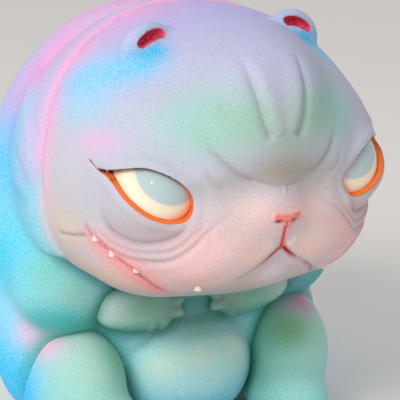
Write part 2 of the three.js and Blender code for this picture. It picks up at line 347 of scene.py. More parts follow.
def along(points, line, reach):
    """Distance to a polyline, share of the way along it, and the nearest point; far points get `reach`."""
    far = np.full(len(points), float(reach))
    share = np.zeros(len(points))
    nearest = np.zeros_like(points)
    tangent = np.zeros_like(points)
    low, high = line.min(0) - reach, line.max(0) + reach
    near = np.flatnonzero(np.all((points > low) & (points < high), axis=1))
    if not len(near):
        return far, share, nearest, tangent
    p = points[near]
    best = np.full(len(p), float(reach) ** 2)
    for i in range(len(line) - 1):
        way = line[i + 1] - line[i]
        off = p - line[i]
        t = np.clip(off @ way / (way @ way), 0, 1)
        gap = off - t[:, None] * way
        d2 = (gap * gap).sum(1)
        w = d2 < best
        best[w] = d2[w]
        rows = near[w]
        share[rows] = (i + t[w]) / (len(line) - 1)
        nearest[rows] = line[i] + t[w][:, None] * way
        tangent[rows] = way / np.linalg.norm(way)
    far[near] = np.sqrt(best)
    return far, share, nearest, tangent


def ends(share, start=0.15, stop=0.85):
    s = np.clip(share / max(start, 1e-6), 0, 1) * np.clip((1 - share) / max(1 - stop, 1e-6), 0, 1)
    return s * s * (3 - 2 * s)


class Fold:
    """A crease, with an optional puffed side. side +1 puffs above the line, -1 below it."""

    def __init__(self, points, width, depth, puff=0.0, puff_width=3.0, side=1, fade=(0.15, 0.85), both=True):
        self.points, self.width, self.depth = points, width, depth
        self.puff, self.puff_width, self.side, self.fade, self.both = puff, puff_width, side, fade, both

    def press(self, field, points, normals):
        line, _ = settle(field, spline(self.points), 4)
        q = mirror(points) if self.both else points
        n = normals.copy()
        if self.both:
            n[points[:, 0] < 0, 0] *= -1
        reach = max(3.2 * self.width, 3.2 * self.puff_width if self.puff else 0)
        d, share, nearest, tangent = along(q, line, reach)
        strength = ends(share, *self.fade)
        hit = np.clip(1 - d / (2.2 * self.width), 0, 1)
        groove = hit * hit * (0.35 + 0.65 * hit)
        move = -self.depth * strength * groove
        if self.puff:
            across = np.cross(n, tangent)
            up = np.where(across[:, 2] < 0, -1.0, 1.0)
            s = ((q - nearest) * across).sum(1) * up * self.side
            bulge = falloff(s - 1.1 * self.puff_width, self.puff_width) * (d < reach * 0.999)
            move = move + self.puff * strength * bulge
        return move, strength * groove


def sculpt(field, verts, normals, folds):
    """Presses every fold into the skin; gives the new vertices and how deep in a crease each one is."""
    total = np.zeros(len(verts))
    cavity = np.zeros(len(verts))
    for fold in folds:
        move, groove = fold.press(field, verts, normals)
        total += move
        cavity = np.maximum(cavity, groove * min(1.0, fold.depth))
    return verts + normals * total[:, None], cavity


# ---------------------------------------------------------------------------------------
# Airbrush: clouds of colour laid on one after another, some of them painted shade
# ---------------------------------------------------------------------------------------
def linear(r, g, b):
    """Linear light from an sRGB colour in 0 to 255."""
    c = np.array((r, g, b)) / 255
    return np.where(c <= 0.04045, c / 12.92, ((c + 0.055) / 1.055) ** 2.4)


def airbrush(points, base, clouds):
    """clouds: (centre, radii, colour, strength), laid on in order and the same on both sides."""
    paint = np.tile(linear(*base), (len(points), 1))
    q = mirror(points)
    for centre, radii, colour, strength in clouds:
        radii = np.array(radii if isinstance(radii, tuple) else (radii,) * 3, float)
        d2 = (((q - np.array(centre)) / radii) ** 2).sum(1)
        w = (strength * np.exp(-d2))[:, None]
        paint = paint * (1 - w) + linear(*colour) * w
    return paint


def tint(paint, colour, amount):
    w = np.clip(amount, 0, 1)[:, None]
    return paint * (1 - w) + linear(*colour) * w


# ---------------------------------------------------------------------------------------
# Finer skin where the detail is
# ---------------------------------------------------------------------------------------
def edge(a, b):
    return (a, b) if a < b else (b, a)


def refine(verts, faces, chosen):
    """Splits the chosen quads in four; their neighbours take the new edge points as extra corners."""
    points = [tuple(v) for v in verts]
    middle = {}

    def halfway(a, b):
        key = edge(a, b)
        if key not in middle:
            middle[key] = len(points)
            points.append(tuple((np.array(points[a]) + np.array(points[b])) / 2))
        return middle[key]

    for face, take in zip(faces, chosen):
        if take and len(face) == 4:
            for i in range(4):
                halfway(face[i], face[(i + 1) % 4])
    out = []
    for face, take in zip(faces, chosen):
        n = len(face)
        if take and n == 4:
            mids = [middle[edge(face[i], face[(i + 1) % 4])] for i in range(4)]
            centre = len(points)
            points.append(tuple(np.mean([points[i] for i in face], axis=0)))
            out += [[face[i], mids[i], centre, mids[i - 1]] for i in range(4)]
        else:
            ring = []
            for i in range(n):
                a, b = face[i], face[(i + 1) % n]
                ring.append(a)
                if edge(a, b) in middle:
                    ring.append(middle[edge(a, b)])
            out.append(ring)
    return np.array(points), out


def near_lines(points, lines, reach):
    close = np.zeros(len(points), bool)
    q = mirror(points)
    for line in lines:
        d, _, _, _ = along(q, line, reach)
        close |= d < reach * 0.999
    return close


# ---------------------------------------------------------------------------------------
# Eyes
# ---------------------------------------------------------------------------------------
LID_INNER = [
    (10.2, 5.3), (9, 5.5), (6.4, 5.95), (2.3, 6.35), (-1.3, 5.6), (-4.7, 4.1), (-7.8, 2), (-9.8, -0.5),
    (-10.2, -3.3), (-9.6, -5.5), (-8, -6.9), (-5.3, -7.2), (-2.8, -6.7), (0.6, -5.2), (3.8, -2.8),
    (6.5, -0.2), (8.6, 2.6), (9.6, 4), (10.2, 4.8),
]
LID_INNER_TIP = (10.4, 5.1)


def outline(points, tip, pieces=8):
    """Closed lid line, sharp at its outer tip and smooth everywhere else."""
    p = np.array([tip] + points + [tip], float)
    p = np.vstack((2 * p[0] - p[1], p, 2 * p[-1] - p[-2]))
    out = []
    for i in range(len(p) - 3):
        a, b, c, d = p[i : i + 4]
        for t in np.linspace(0, 1, pieces, endpoint=False):
            out.append(curve_point(a, b, c, d, t))
    return np.array(out)


OUTLINE = outline(LID, LID_TIP)
INLINE = outline(LID_INNER, LID_INNER_TIP)


def eye_plane(points):
    """(out, up, ahead) of points from the eye's centre, in the eye's own axes, both eyes folded on one."""
    rel = mirror(points) - np.array(EYE_AT)
    return rel @ EYE_OUT, rel @ EYE_UP, rel @ EYE_AIM


def from_eye_plane(u, v, n):
    return np.array(EYE_AT) + np.outer(u, EYE_OUT) + np.outer(v, EYE_UP) + np.outer(n, EYE_AIM)


def lid_gap(u, v):
    """Signed distance to the lid outline, negative inside, and the nearest point on it."""
    closed = np.vstack((OUTLINE, OUTLINE[:1]))
    best = np.full(len(u), 1e9)
    nearest = np.zeros((len(u), 2))
    inside = np.zeros(len(u), bool)
    for (ax, ay), (bx, by) in zip(closed[:-1], closed[1:]):
        wx, wy = bx - ax, by - ay
        t = np.clip(((u - ax) * wx + (v - ay) * wy) / (wx * wx + wy * wy), 0, 1)
        px, py = ax + t * wx, ay + t * wy
        d = np.hypot(u - px, v - py)
        closer = d < best
        best[closer] = d[closer]
        nearest[closer] = np.stack((px, py), 1)[closer]
        crosses = (ay > v) != (by > v)
        inside ^= crosses & (u < (bx - ax) * (v - ay) / np.where(wy == 0, 1e-9, wy) + ax)
    return np.where(inside, -best, best), nearest


def skin_ahead(u, v, field, start=18.0):
    """How far ahead of the eye's centre the skin lies at (u, v)."""
    n = np.full(len(u), start)
    for _ in range(30):
        n = n - field(from_eye_plane(u, v, n))
    return n


def eyelid_rim(name, side, material):
    """The painted lid edge: a ring from the skin's cut edge down on to the ball."""
    u0, v0 = OUTLINE.T
    u1, v1 = INLINE.T
    skin = skin_ahead(u0, v0, head_field)
    ball = np.sqrt(np.maximum(EYE_R**2 - u1**2 - v1**2, 1.0))
    rings, paints = [], []
    steps = ((-0.10, -0.25), (0.0, 0.06), (0.2, 0.02), (0.45, -0.12), (0.75, -0.1), (1.0, 0.05), (1.12, -0.9))
    # dark brown along the upper lid and the outer tip: partly painted liner, partly painted shadow of the
    # overhanging lid
    liner_and_lid_shadow = np.clip(v0 / 2.5 + 0.3 - 0.10 * np.abs(u0 + 2), 0, 1) * (u0 < 11)
    liner_and_lid_shadow = np.maximum(liner_and_lid_shadow, 0.85 * np.clip((u0 - 12.5) / 1.5, 0, 1))
    wedge = np.clip((u0 - 8.5) / 3, 0, 1)
    for t, lift in steps:
        u = u0 + (u1 - u0) * t
        v = v0 + (v1 - v0) * t
        s = np.clip(t, 0, 1)
        n = skin * (1 - s) + ball * s - 0.5 * np.sin(np.pi * s) * wedge + lift
        rings.append(from_eye_plane(u, v, n))
        orange = np.tile(linear(238, 104, 22), (len(u), 1))
        orange = tint(orange, (250, 150, 70), np.full(len(u), 0.35 * np.sin(np.pi * s)))
        deep = np.clip(0.75 - abs(t - 1) * 3, 0, 1) * (0.35 + 0.65 * wedge)
        orange = tint(orange, (176, 38, 8), deep)
        paints.append(tint(orange, (64, 30, 26), liner_and_lid_shadow * (0.95 if t < 0.9 else 0.6)))
    count = len(u0)
    verts = np.concatenate(rings)
    verts[:, 0] *= side
    faces = []
    for k in range(len(steps)):
        for i in range(count):
            j = (i + 1) % count
            a, b = k * count + i, k * count + j
            c, d = ((k + 1) % len(steps)) * count + j, ((k + 1) % len(steps)) * count + i
            faces.append([a, b, c, d] if side > 0 else [d, c, b, a])
    return mesh_object(name, verts, faces, material, np.concatenate(paints))


GAZE = np.array((-0.431, 0.503, 0.749))
IRIS_DEGREES = 45.5


def eyeball(name, side, material):
    """A ball ringed round its gaze, so that the iris edge is a clean circle."""
    gaze = GAZE[0] * EYE_OUT + GAZE[1] * EYE_UP + GAZE[2] * EYE_AIM
    gaze = gaze / np.linalg.norm(gaze)
    across = np.cross(gaze, (0, 0, 1))
    across /= np.linalg.norm(across)
    over = np.cross(across, gaze)
    degrees = np.concatenate((np.linspace(1.5, 40, 14), np.linspace(42, 51, 13), np.linspace(53, 176, 42)))
    turns = 84
    verts, paints = [], []
    for deg in degrees:
        a = math.radians(deg)
        for k in range(turns):
            t = 2 * math.pi * k / turns
            way = gaze * math.cos(a) + (across * math.cos(t) + over * math.sin(t)) * math.sin(a)
            verts.append(np.array(EYE_AT) + EYE_R * way)
            iris = 1 / (1 + math.exp((deg - IRIS_DEGREES) * 1.6))
            blush = math.exp(-(((deg - IRIS_DEGREES - 1.5) / 3.2) ** 2))
            white = linear(246, 232, 208) * (1 - 0.45 * blush) + linear(250, 214, 188) * 0.45 * blush
            edge = math.exp(-(((deg - 80) / 14) ** 2))
            white = white * (1 - 0.35 * edge) + linear(244, 204, 156) * 0.35 * edge
            grey = linear(178, 196, 199)
            paints.append(grey * iris + white * (1 - iris))
    faces = []
    for r in range(len(degrees) - 1):
        for k in range(turns):
            j = (k + 1) % turns
            faces.append([r * turns + k, (r + 1) * turns + k, (r + 1) * turns + j, r * turns + j])
    faces.append(list(range(turns)))
    last = (len(degrees) - 1) * turns
    faces.append([last + k for k in range(turns)][::-1])
    verts = np.array(verts)
    verts[:, 0] *= side
    if side < 0:
        faces = [f[::-1] for f in faces]
    return mesh_object(name, verts, faces, material, np.array(paints))


# ---------------------------------------------------------------------------------------
# Materials
# ---------------------------------------------------------------------------------------
def paint_material(name, rough, grain=0.13, bump=0.035, coat=0.0, specular=0.22, sheen=0.0):
    """Airbrushed vinyl: fine specks, a slow drift in tone and a faint relief whose depth, bump, is in mm."""
    material = bpy.data.materials.new(name)
    material.use_nodes = True
    tree = material.node_tree
    nodes, links = tree.nodes, tree.links
    shader = nodes["Principled BSDF"]
    shader.inputs["Specular IOR Level"].default_value = specular
    shader.inputs["Coat Weight"].default_value = coat
    shader.inputs["Coat Roughness"].default_value = 0.12
    shader.inputs["Sheen Weight"].default_value = sheen
    shader.inputs["Sheen Roughness"].default_value = 0.5
    place = nodes.new("ShaderNodeTexCoord")
    colour = nodes.new("ShaderNodeVertexColor")
    colour.layer_name = "paint"

    def noise(scale, detail, roughness=0.6):
        node = nodes.new("ShaderNodeTexNoise")
        node.inputs["Scale"].default_value = scale
        node.inputs["Detail"].default_value = detail
        node.inputs["Roughness"].default_value = roughness
        links.new(place.outputs["Object"], node.inputs["Vector"])
        return node

    def remap(node, low, high):
        ramp = nodes.new("ShaderNodeMapRange")
        ramp.inputs["From Min"].default_value = 0.25
        ramp.inputs["From Max"].default_value = 0.75
        ramp.inputs["To Min"].default_value = low
        ramp.inputs["To Max"].default_value = high
        links.new(node.outputs["Fac"], ramp.inputs["Value"])
        return ramp

    specks = noise(2600, 2)
    drift = noise(45, 3)
    shade = nodes.new("ShaderNodeHueSaturation")
    links.new(colour.outputs["Color"], shade.inputs["Color"])
    both = nodes.new("ShaderNodeMath")
    both.operation = "MULTIPLY"
    links.new(remap(specks, 1 - grain, 1 + grain).outputs["Result"], both.inputs[0])
    links.new(remap(drift, 0.985, 1.015).outputs["Result"], both.inputs[1])
    links.new(both.outputs["Value"], shade.inputs["Value"])
    vivid = remap(noise(1900, 1), 1 - 1.6 * grain, 1 + 1.6 * grain)
    links.new(vivid.outputs["Result"], shade.inputs["Saturation"])
    links.new(shade.outputs["Color"], shader.inputs["Base Color"])
    links.new(remap(noise(160, 3), rough - 0.05, rough + 0.06).outputs["Result"], shader.inputs["Roughness"])
    relief = nodes.new("ShaderNodeBump")
    relief.inputs["Strength"].default_value = 1.0
    relief.inputs["Distance"].default_value = bump * MM
    links.new(noise(1500, 2).outputs["Fac"], relief.inputs["Height"])
    links.new(relief.outputs["Normal"], shader.inputs["Normal"])
    return material


HEAD_VINYL = paint_material("head_vinyl_paint", rough=0.55, sheen=0.04)
BODY_VINYL = paint_material("body_vinyl_paint", rough=0.52, sheen=0.03)
LIMB_VINYL = paint_material("limb_vinyl_paint", rough=0.52, sheen=0.03)
EYE_GLOSS = paint_material("eye_gloss_paint", rough=0.14, grain=0.01, bump=0.0, coat=0.7, specular=0.5)
RIM_PAINT = paint_material("lid_rim_paint", rough=0.3, grain=0.05, coat=0.3)
FANG_GLOSS = paint_material("fang_gloss_paint", rough=0.18, grain=0.01, coat=0.5, specular=0.5)


# ---------------------------------------------------------------------------------------
# Head
# ---------------------------------------------------------------------------------------
MOUTH = [
    (0, -61.5, 73.3), (3.3, -60.5, 70.2), (7.5, -59.8, 66.8), (12, -57, 64), (16, -51, 60.8),
    (20, -46, 58.8), (26.7, -44.6, 60.4), (31.5, -45.2, 63.3), (36.8, -44, 68), (41.8, -39.1, 72.5),
    (44.2, -35, 75.9), (45.6, -33.8, 80),
]
PHILTRUM = [(0, -63.3, 81.2), (0, -62.5, 77), (0, -61.5, 73)]
MOUTH_FOLD = Fold(MOUTH, 0.9, 1.3, puff=0.55, puff_width=2.2, side=1, fade=(0.035, 0.92))
PHILTRUM_FOLD = Fold(PHILTRUM, 0.55, 0.8, fade=(0.001, 0.999), both=False)
HEAD_FOLDS = [
    MOUTH_FOLD,
    PHILTRUM_FOLD,
    Fold([(44.6, -39.4, 86.7), (41.2, -41.1, 78.5), (35.4, -47.2, 75.4), (28.3, -53.5, 77.6),
          (24, -56.6, 84.1)], 1.5, 1.0, puff=0.5, puff_width=2.0, side=-1, fade=(0.3, 0.75)),
    Fold([(45, -37, 83.5), (42, -39.5, 76.8), (36.3, -46, 73.2), (29.2, -52.3, 73.8), (24, -56.3, 78.6),
          (19.5, -58, 82.5)], 1.0, 0.7, puff=0.25, puff_width=1.3, side=-1, fade=(0.3, 0.7)),
    Fold([(45.5, -35, 81.6), (42.6, -37.9, 75.1), (37.1, -44.7, 71.1), (29.9, -50.8, 70.5), (25.2, -56, 74.6),
          (21.7, -57.8, 78.6), (14.7, -58.7, 83.3), (9.1, -59.6, 85)], 1.0, 0.7, puff=0.3, puff_width=1.5,
         side=-1, fade=(0.25, 0.6)),
    Fold([(47.5, -21.6, 73.4), (46.4, -28, 74), (44.4, -34.3, 75.5)], 0.9, 0.8,
         puff=0.3, puff_width=1.5, side=1),
    Fold([(22.2, -52.8, 105.9), (19, -56.7, 101), (15.1, -59.4, 96.3), (10.8, -59.8, 92.9),
          (4.9, -61.6, 90.5), (0, -62.6, 90)], 1.6, 0.8, fade=(0.35, 0.999)),
    Fold([(8, -50.9, 125.1), (7.9, -58.7, 117.8), (6.2, -62, 108.5), (3.6, -62.5, 102.2)], 1.7, 1.5,
         puff=0.6, puff_width=2.6, side=1, fade=(0.4, 0.88)),
    Fold([(17.5, -55, 113), (16, -57, 111), (13.5, -59.5, 107)], 0.9, 0.35, fade=(0.4, 0.6)),
    Fold([(21, -55.5, 98), (18.5, -57.5, 92), (13, -59.5, 87.5)], 1.2, 0.4, fade=(0.4, 0.6)),
]
RED = (206, 40, 48)
HEAD_CLOUDS = [
    ((0, -13, 134), (60, 50, 24), (178, 172, 226), 0.9),
    ((16, 0, 128), (16, 14, 10), (240, 160, 212), 0.85),
    ((36, -6, 118), (7, 10, 9), (242, 160, 206), 0.85),
    ((45, -13, 105), (4.5, 6, 14), (242, 158, 204), 0.85),
    ((49.5, -17, 90), (4, 4.5, 13), (242, 172, 202), 0.75),
    ((37, -21, 114), (10, 10, 7), (128, 200, 246), 0.95),
    ((31, -27, 117), (9, 8, 5.5), (120, 200, 242), 0.8),
    ((25, -32, 119.5), (9, 7, 3.8), (84, 196, 236), 0.85),
    # blue paint under the ear, deepened to dark cyan right below the slit as painted shadow of the ear flap
    ((22.5, -32, 123), (6, 5, 2.6), (20, 176, 226), 0.9),
    ((39, -27, 107), (9, 9, 6), (150, 204, 228), 0.8),
    ((12, -45, 124), (10, 10, 8), (172, 176, 198), 0.75),
    ((22, -48, 113), (9, 8, 7), (172, 180, 196), 0.7),
    ((26, -50, 107), (10, 9, 6), (158, 204, 206), 0.75),
    ((18, -54, 110), (12, 9, 8), (152, 194, 186), 0.7),
    ((10, -60, 108), (8, 7, 7), (148, 192, 168), 0.85),
    ((19, -54, 104), (8, 7, 4.5), (148, 200, 176), 0.6),
    ((0, -63, 103), (7, 7, 8), (156, 176, 160), 0.7),
    # painted shade: olive brown under the overhanging brow mound, above the nose
    ((0, -64, 94), (14, 8, 5), (148, 138, 120), 0.8),
    ((32, -38, 104), (9, 9, 5), (178, 192, 210), 0.6),
    ((41, -36, 101.5), (8, 7, 3.4), (224, 172, 214), 0.65),
    ((30, -46, 98), (10, 8, 4.5), (176, 190, 204), 0.6),
    ((46, -27, 92), (6, 8, 9), (196, 198, 206), 0.6),
    ((28, -46, 80), (16, 12, 6), (198, 184, 182), 0.75),
    ((16, -58, 88), (8, 8, 6), (196, 192, 188), 0.6),
    ((8, -61, 83), (10, 9, 6), (226, 194, 188), 0.8),
    ((20, -58, 76), (9, 9, 6), (236, 188, 184), 0.75),
    ((24, -54, 67), (10, 10, 7), (240, 184, 178), 0.8),
    ((8, -60, 72), (8, 8, 6), (230, 190, 176), 0.75),
    ((0, -64, 82), (7, 5, 4), (232, 170, 166), 0.5),
    ((10, -57, 61), (12, 10, 4), (204, 168, 150), 0.75),
    ((36, -42, 64), (10, 10, 5), (208, 178, 162), 0.75),
    ((46, -26, 76), (8, 10, 8), (204, 190, 174), 0.85),
    ((42, -30, 63), (12, 14, 6), (208, 178, 162), 0.85),
    # painted shadow: dull grey olive across the underside of the head
    ((0, -38, 56), (44, 26, 5), (150, 150, 136), 0.75),
]


def cut_eyes(verts, normals, field, spacing):
    """Snaps the skin to the lid outlines, raises a soft lid and sinks what is inside behind the ball."""
    u, v, n = eye_plane(verts)
    near = np.flatnonzero((n > -3) & (u > -16) & (u < 21) & (np.abs(v) < 13))
    gap, nearest = lid_gap(u[near], v[near])
    out = verts.copy()
    snap = np.abs(gap) < 0.5 * spacing
    rows = near[snap]
    line = nearest[snap]
    ahead = skin_ahead(line[:, 0], line[:, 1], field)
    side = np.where(verts[rows, 0] < 0, -1, 1)
    moved = from_eye_plane(line[:, 0], line[:, 1], ahead)
    moved[:, 0] *= side
    out[rows] = moved
    sunk = gap < -0.5 * spacing
    rows = near[sunk]
    ball = np.sqrt(np.maximum(EYE_R**2 - u[rows] ** 2 - v[rows] ** 2, 0))
    floor_ahead = np.minimum(n[rows] - 2.4, np.where(ball > 2, ball - 1.2, 99))
    step = (floor_ahead - n[rows])[:, None] * EYE_AIM
    step[:, 0] *= np.where(verts[rows, 0] < 0, -1, 1)
    out[rows] = verts[rows] + step
    rows = near[~snap & ~sunk]
    lift = 0.35 * falloff(gap[~snap & ~sunk] - 1.6, 1.1)
    out[rows] += normals[rows] * lift[:, None]
    return out


HEAD_BOX, HEAD_STEP, HEAD_BASE = ((-58, -72, 44), (58, 42, 140)), 0.8, (186, 188, 202)


def build_head():
    verts, quads = net(head_field, *HEAD_BOX, HEAD_STEP)
    verts = even_out(head_field, verts, quads)
    lines = [settle(head_field, spline(f.points), 4)[0] for f in HEAD_FOLDS]
    q = mirror(verts)
    fine = near_lines(verts, lines, 2.4)
    u, v, n = eye_plane(verts)
    gap, _ = lid_gap(u, v)
    fine |= (np.abs(gap) < 2) & (n > -3)
    fine |= (np.abs(q[:, 0]) < 6) & (q[:, 1] < -55) & (q[:, 2] > 78) & (q[:, 2] < 86)
    fine |= np.abs(ear_bowl(verts)) < 1.2
    faces = quads.tolist()
    verts, faces = refine(verts, faces, fine[quads].any(1))
    centre = (np.abs(verts[:, 0]) < 5.5) & (verts[:, 1] < -55) & (verts[:, 2] > 68) & (verts[:, 2] < 85)
    verts, faces = refine(verts, faces, [len(f) == 4 and all(centre[i] for i in f) for f in faces])
    verts, normals = settle(head_field, verts, 2)
    out, cavity = sculpt(head_field, verts, normals, HEAD_FOLDS)
    nose_height, coral, nostril = nose_shape(verts)
    out = out + normals * nose_height[:, None]
    out = cut_eyes(out, normals, head_field, HEAD_STEP / 2)

    paint = airbrush(verts, HEAD_BASE, HEAD_CLOUDS)
    line, _ = settle(head_field, spline(MOUTH), 4)
    d, share, _, _ = along(mirror(verts), line, 9)
    x = np.abs(verts[:, 0])
    corner = np.clip((x - 22) / 8, 0, 1)
    grin = corner * np.clip((0.99 - share) / 0.15, 0, 1)
    paint = tint(paint, (226, 120, 126), 0.75 * grin * falloff(d, 2.8))
    paint = tint(paint, (236, 160, 160), 0.45 * grin * falloff(d, 6))
    # painted shade: greyish brown laid into the deeper creases, away from the middle of the face
    paint = tint(paint, (128, 98, 92), 0.45 * np.clip(cavity, 0, 1) ** 1.5 * (x > 9))
    red = falloff(d, 0.55) * np.clip((6 - x) / 3, 0, 1)
    paint = tint(paint, RED, red)
    reach = np.where(verts[:, 0] > 0, 7, 13)
    paint = tint(paint, (150, 72, 70), 0.85 * falloff(d, 0.45) * np.clip((reach - x) / 4, 0, 1))
    line, _ = settle(head_field, spline(PHILTRUM), 4)
    d, share, _, _ = along(verts, line, 6)
    spread = 0.45 + 0.45 * np.clip(share, 0, 1) ** 2
    paint = tint(paint, RED, falloff(d, spread) * np.clip(share * 4, 0.55, 1))
    paint = tint(paint, (232, 130, 128), 0.5 * falloff(d, 1.4))
    paint = tint(paint, (230, 132, 122), coral)
    paint = tint(paint, (138, 26, 32), nostril)
    bowl = ear_bowl(verts)
    over = np.clip((verts[:, 2] - 125.5) / 2, 0, 1)
    paint = tint(paint, (148, 186, 200), 0.85 * over * np.clip(1 - np.abs(bowl - 0.9) / 1.3, 0, 1))
    paint = tint(paint, (206, 8, 50), np.clip((0.45 - bowl) / 0.5, 0, 1))
    return mesh_object("head_skin", out, faces, HEAD_VINYL, paint)


def nose_shape(points):
    """Height of the small nose, how coral each point is and how dark its nostrils are."""
    x, z = np.abs(points[:, 0]), points[:, 2] - 81.5
    front = points[:, 1] < -55
    bar = np.hypot(np.maximum(x - 2.9, 0), z - 0.35 - 0.12 * x) - 1.05
    stem = np.hypot(x * 0.9, z + 0.9) - 1.15
    shape = np.minimum(bar, stem)
    inside = np.clip(0.5 - shape / 0.7, 0, 1) * front
    nostril = np.exp(-(((x - 2.3) / 0.95) ** 2) - (((z + 0.5) / 0.55) ** 2)) * front
    return 0.85 * inside - 1.1 * nostril, inside, 0.9 * nostril


# ---------------------------------------------------------------------------------------
# Body and limbs
# ---------------------------------------------------------------------------------------
BODY_FOLDS = [
    Fold([(0, -13.4, 38.6), (5, -13.4, 38.3), (11.6, -12.6, 35.5), (17.4, -11, 31.3), (23.3, -10.9, 27.7)],
         1.7, 0.7, puff=0.6, puff_width=3.5, side=-1, fade=(0.001, 0.6)),
    Fold([(48, 1.9, 94.7), (50, -4.6, 92), (52, -9.9, 89), (52, -15, 85.4)], 1.9, 0.7,
         puff=0.3, puff_width=3, fade=(0.4, 0.8)),
    Fold([(47.3, 15.1, 90), (50, 8, 84.5), (52, -2, 81), (52, -13.6, 79.8)], 2.1, 0.8,
         puff=0.35, puff_width=3.5, fade=(0.4, 0.8)),
]
BODY_CLOUDS = [
    ((34, 60, 100), (20, 14, 14), (226, 172, 222), 0.6),
    ((0, 30, 126), (44, 30, 16), (240, 160, 212), 0.95),
    ((30, 10, 118), (14, 14, 8), (238, 158, 212), 0.9),
    ((38, 12, 112), (9, 14, 8), (238, 160, 216), 0.85),
    ((47, 14, 104), (7, 12, 8), (216, 164, 226), 0.85),
    ((41, 24, 104), (12, 16, 10), (214, 168, 230), 0.8),
    ((48, 10, 95), (8, 12, 7), (140, 180, 246), 0.85),
    ((52, -12, 88), (5, 6, 6), (150, 186, 220), 0.6),
    ((48, 12, 84), (10, 18, 10), (96, 196, 252), 0.9),
    ((50, -4, 80), (6, 9, 6), (110, 190, 232), 0.7),
    ((50, 0, 68), (7, 12, 7), (112, 208, 232), 0.8),
    ((46, -8, 58), (8, 8, 8), (128, 196, 184), 0.85),
    ((50, 12, 56), (9, 14, 12), (50, 204, 238), 0.9),
    ((38, -14, 52), (9, 8, 7), (136, 190, 172), 0.8),
    # painted shade: dark teal under the front of the arm
    ((42, -11, 43), (12, 8, 5), (40, 168, 150), 0.9),
    ((50, 10, 38), (9, 14, 9), (150, 214, 240), 0.85),
    # painted shade: more dark teal under the front of the arm
    ((46, -10, 43), (8, 8, 6), (70, 178, 180), 0.9),
    ((50, 12, 24), (9, 18, 10), (40, 200, 250), 0.9),
    ((48, 16, 14), (12, 20, 16), (0, 184, 248), 1.0),
    ((0, 50, 60), (60, 26, 60), (110, 200, 240), 0.6),
    # painted shade: dark green at the top of the belly, below and between the hands
    ((0, -16, 44), (22, 12, 6), (44, 106, 88), 0.8),
    ((0, -17, 36), (17, 8, 5), (76, 120, 86), 0.9),
    ((-2, -18, 27), (12, 8, 6), (190, 214, 196), 0.9),
    ((14, -17, 26), (8, 8, 7), (190, 220, 202), 0.9),
    ((0, -19, 17), (14, 10, 6), (176, 216, 212), 0.7),
    ((0, -18, 7), (20, 10, 8.5), (74, 184, 214), 0.95),
    ((45.5, 0, 37.5), (6, 6, 5), (238, 180, 212), 0.85),
]
LEG_CLOUDS = [
    ((50, 0, 28), (6, 8, 10), (130, 206, 244), 0.9),
    ((50, 2, 16), (7, 12, 14), (0, 190, 246), 0.95),
    ((36, -8, 38), (8, 8, 4), (180, 208, 204), 0.6),
    ((36, -16, 30), (9, 9, 8), (168, 208, 190), 0.85),
    ((27, -16, 30), (6, 8, 9), (120, 192, 160), 0.8),
    ((32, -24, 18), (12, 8, 7), (158, 216, 206), 0.85),
    ((34, -24, 6), (14, 12, 6), (112, 204, 226), 0.85),
    # painted shade: dark green on the inner side of the thigh, in the groove against the belly
    ((20, -8, 20), (4, 14, 14), (50, 150, 124), 0.7),
    ((42.5, -4, 35), (6.5, 7, 5.5), (240, 176, 208), 0.9),
]
LEFT_LEG_CLOUDS = [
    ((37, -12, 37), (6, 6, 4.5), (212, 142, 178), 0.9),
    ((30, -18, 31), (6, 6, 6), (122, 176, 132), 0.8),
]
ARM_CLOUDS = [
    ((44, -6, 50), (10, 9, 9), (112, 190, 186), 0.8),
    ((34, -12, 50), (6, 6, 5), (196, 200, 206), 0.7),
    ((26, -16, 46), (7, 6, 5), (178, 196, 196), 0.85),
    ((18, -17, 45), (8, 5, 5), (116, 164, 140), 0.85),
    ((9, -17, 43), (6, 6, 5), (122, 146, 132), 0.85),
    # painted shade: dark green under the forearm and the hand
    ((24, -12, 39), (14, 8, 2.5), (50, 150, 128), 0.75),
    ((12, -14, 38), (8, 6, 2.2), (70, 130, 110), 0.7),
]


def one_side(field, side):
    def half(points):
        d = field(points)
        return np.where(points[:, 0] * side > 0, d, np.abs(points[:, 0]) + 1.0)
    return half


def seam(paint, gap, reach, colour, strength):
    """Deep colour laid into the seam where another piece is near: green airbrush, darkened as painted shade.
    """
    return tint(paint, colour, strength * falloff(np.maximum(gap, 0), reach))


def lip_paint(points, paint):
    """Pink along the collar's lip and lavender in the shallow valley behind it."""
    y, z = points[:, 1], points[:, 2]
    behind = y - lip_edge(z)
    high = np.clip((z - 84) / 10, 0, 1)
    on = np.clip((3.4 - head_field(points)) / 1.5, 0, 1)
    paint = tint(paint, (196, 180, 222), 0.75 * high * falloff(behind - 7.5, 4.5))
    paint = tint(paint, (236, 160, 204), 0.75 * high * on * falloff(behind, 4.6))
    low = np.clip((90 - z) / 8, 0, 1) * np.clip((z - 60) / 10, 0, 1)
    return tint(paint, (214, 196, 200), 0.8 * low * on * falloff(behind, 2.6))


def body_seams(points, paint):
    paint = lip_paint(points, paint)
    low = np.clip((66 - points[:, 2]) / 12, 0, 1)
    front = np.clip((6 - points[:, 1]) / 10, 0, 1)
    # green airbrush near the forearm, the legs and the head, darkened as painted shade in the seams
    paint = seam(paint, forearm(mirror(points)), 3.2, (30, 120, 98), 0.8 * front)
    paint = seam(paint, leg_field(points), 3.4, (28, 146, 122), 0.7 * front)
    # painted shade: grey blue over the left sleeve, the side turned away from the key light
    far = np.exp(-(((points - np.array((37, -12, 52))) / np.array((10, 9, 9))) ** 2).sum(1))
    paint = tint(paint, (118, 138, 160), 0.85 * far)
    return seam(paint, head_field(points), 3.0, (30, 130, 120), 0.6 * low * front)


